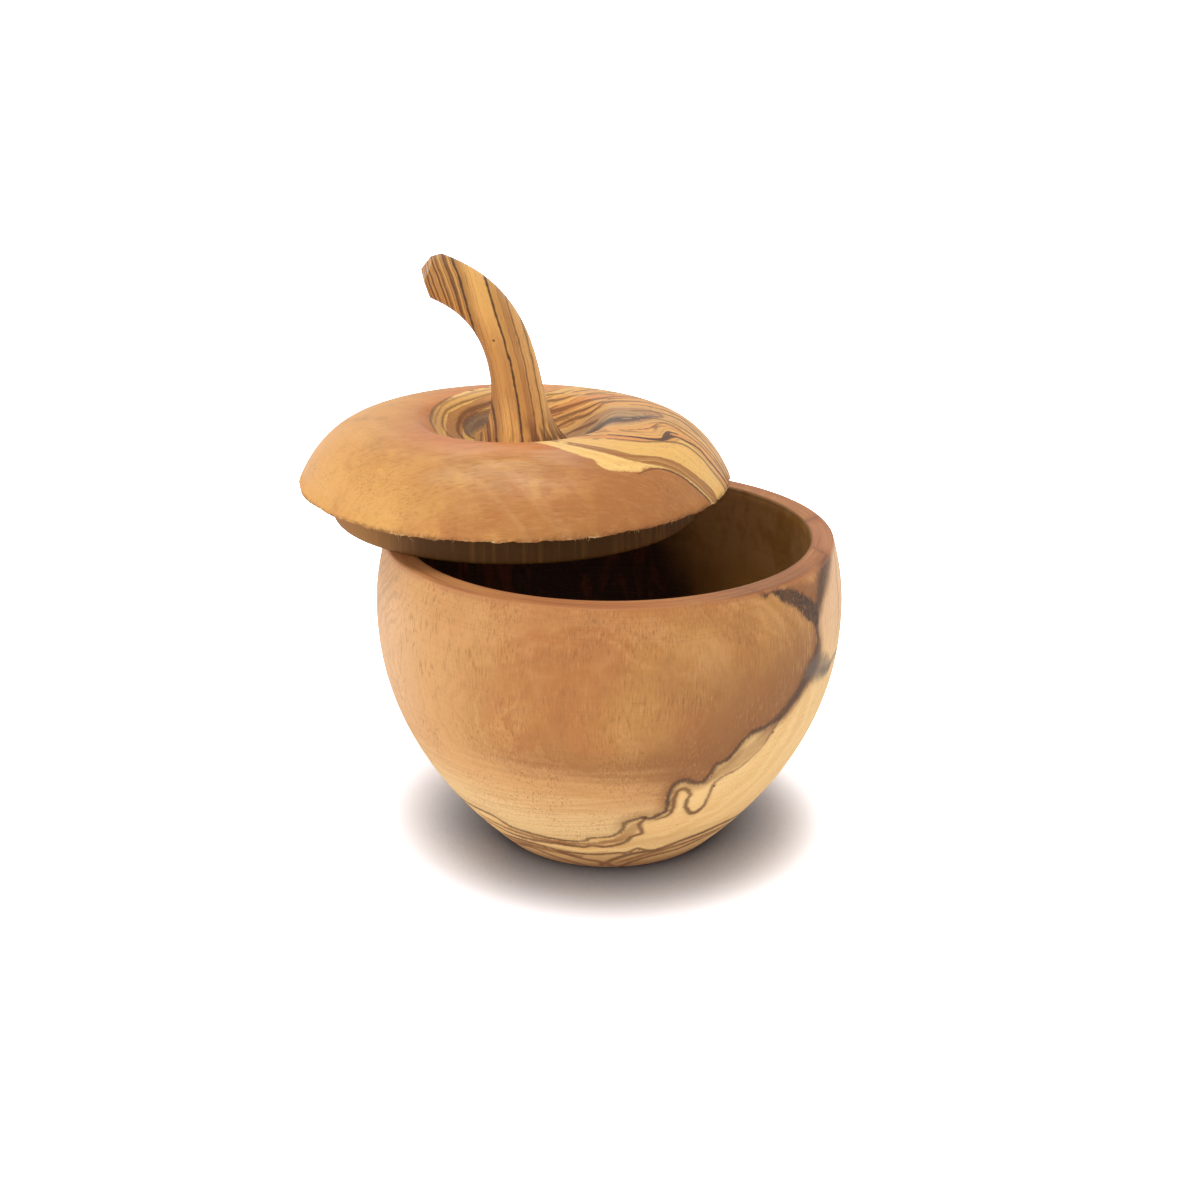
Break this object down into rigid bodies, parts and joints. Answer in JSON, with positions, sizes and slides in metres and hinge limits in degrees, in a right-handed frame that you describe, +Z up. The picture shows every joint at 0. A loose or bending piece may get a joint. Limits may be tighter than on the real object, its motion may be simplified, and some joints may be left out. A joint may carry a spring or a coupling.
{
  "type": "lidded wooden salt pot",
  "caption": "Round turned wooden salt pot shaped like an apple, with a loose lift-off lid and a curved stem as its handle.",
  "frame": {"origin": "middle of the bowl's flat base, on the surface that the pot stands on", "axes": "+Z up along the bowl's turning axis; -Y is the side that the picture looks at, and the stem bends towards -X"},
  "size_m": [0.1183, 0.1147, 0.1232],
  "materials": {
    "bowl_wood": "smooth turned olive wood, oiled, satin",
    "lid_wood": "smooth turned olive wood, oiled, satin",
    "stem_wood": "carved and sanded olive wood, oiled, satin"
  },
  "bodies": {
    "bowl": {"bowl": "bowl_wood"},
    "lid": {"lid": "lid_wood", "stem": "stem_wood"}
  },
  "joints": [
    {"name": "lid_lift", "type": "slide", "parent": "bowl", "child": "lid", "axis": [0, 0, 1], "range_m": [0, 0.12]}
  ]
}
